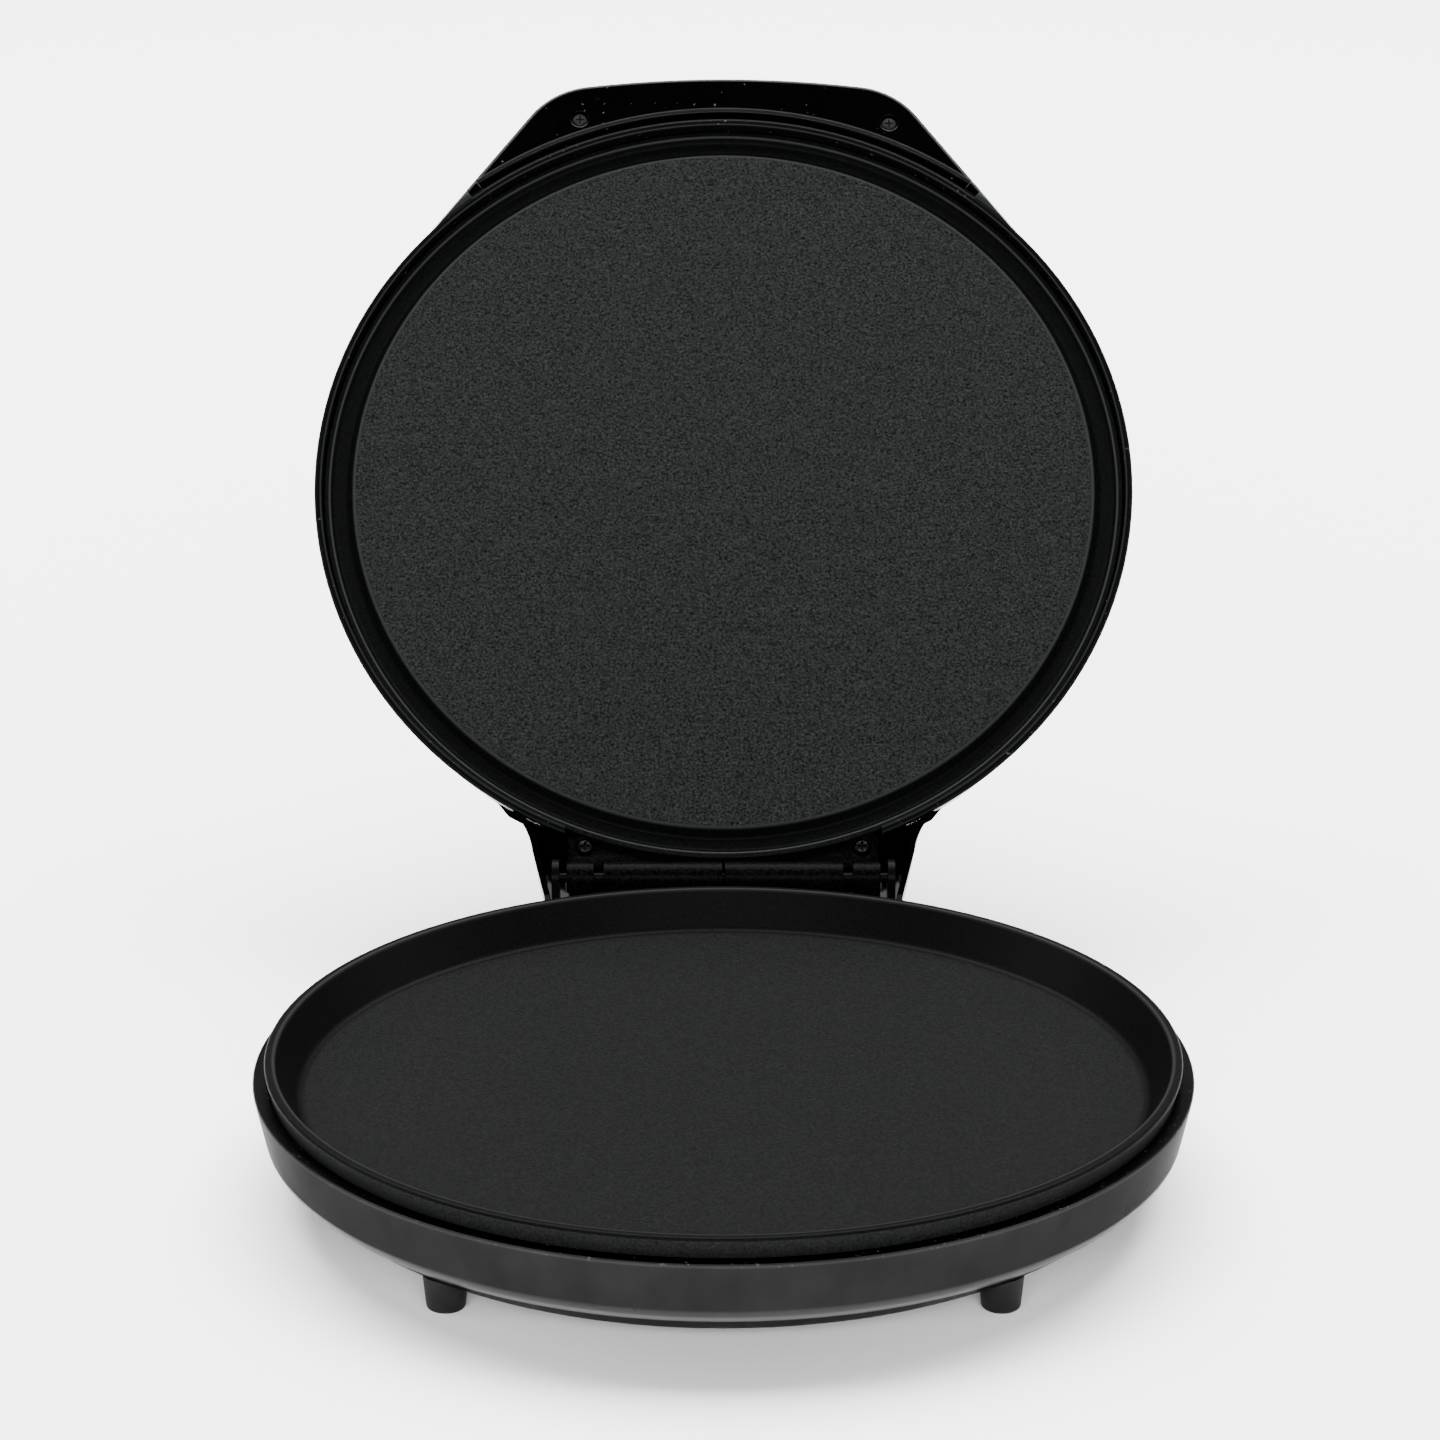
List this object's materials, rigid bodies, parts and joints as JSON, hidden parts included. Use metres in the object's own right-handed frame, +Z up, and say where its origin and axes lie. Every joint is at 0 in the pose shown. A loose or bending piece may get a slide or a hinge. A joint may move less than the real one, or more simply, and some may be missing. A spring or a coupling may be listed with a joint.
{
  "type": "electric pizza maker",
  "caption": "Round countertop pizza cooker standing open: pan in the base, heated plate in a lid that swings on a rear hinge, moulded handle and feet.",
  "frame": {"origin": "on the worktop, under the middle of the box round the appliance with its lid standing open", "axes": "+Z up, +Y towards the rear, where the hinge is, +X to the right as seen from the front; the hinge axis runs along X"},
  "size_m": [0.344, 0.5974, 0.3358],
  "materials": {
    "housing_grey": "satin",
    "gloss_black": "gloss",
    "nonstick_plate": "satin",
    "cast_black": "satin",
    "element_sheath": "matte",
    "bright_sheet": "satin",
    "pin_steel": "polished",
    "screw_steel": "satin",
    "ceramic": "matte",
    "holder_plastic": "matte",
    "foot_rubber": "matte",
    "red_lens": "gloss",
    "green_lens": "gloss"
  },
  "bodies": {
    "base": {"base_housing": "housing_grey", "base_hinge_block": "gloss_black", "base_hinge_casting": "cast_black", "base_hinge_screws": "screw_steel", "hinge_pin": "pin_steel", "lower_plate": "nonstick_plate", "lower_element": "element_sheath", "lower_element_clips": "bright_sheet", "lower_reflector": "bright_sheet", "base_screws": "screw_steel", "thermostat": "ceramic", "thermal_fuse": "ceramic", "terminal_block": "ceramic", "cord_inlet_bush": "foot_rubber", "front_left_foot": "foot_rubber", "front_right_foot": "foot_rubber", "rear_left_foot": "foot_rubber", "rear_right_foot": "foot_rubber", "foot_screws": "screw_steel"},
    "lid": {"lid_housing": "housing_grey", "lid_handle": "gloss_black", "lid_handle_cover": "gloss_black", "handle_screws": "screw_steel", "lid_hinge_cover": "gloss_black", "lid_hinge_casting": "cast_black", "lid_hinge_screws": "screw_steel", "upper_plate": "nonstick_plate", "upper_element": "element_sheath", "upper_element_clips": "bright_sheet", "upper_reflector": "bright_sheet", "upper_reflector_screws": "screw_steel", "power_light_lens": "red_lens", "ready_light_lens": "green_lens", "lamp_holder": "holder_plastic"}
  },
  "joints": [
    {"name": "lid_hinge", "type": "hinge", "parent": "base", "child": "lid", "pos_m": [0, 0.05131, 0.052], "axis": [1, 0, 0], "range_deg": [0, 130]}
  ]
}
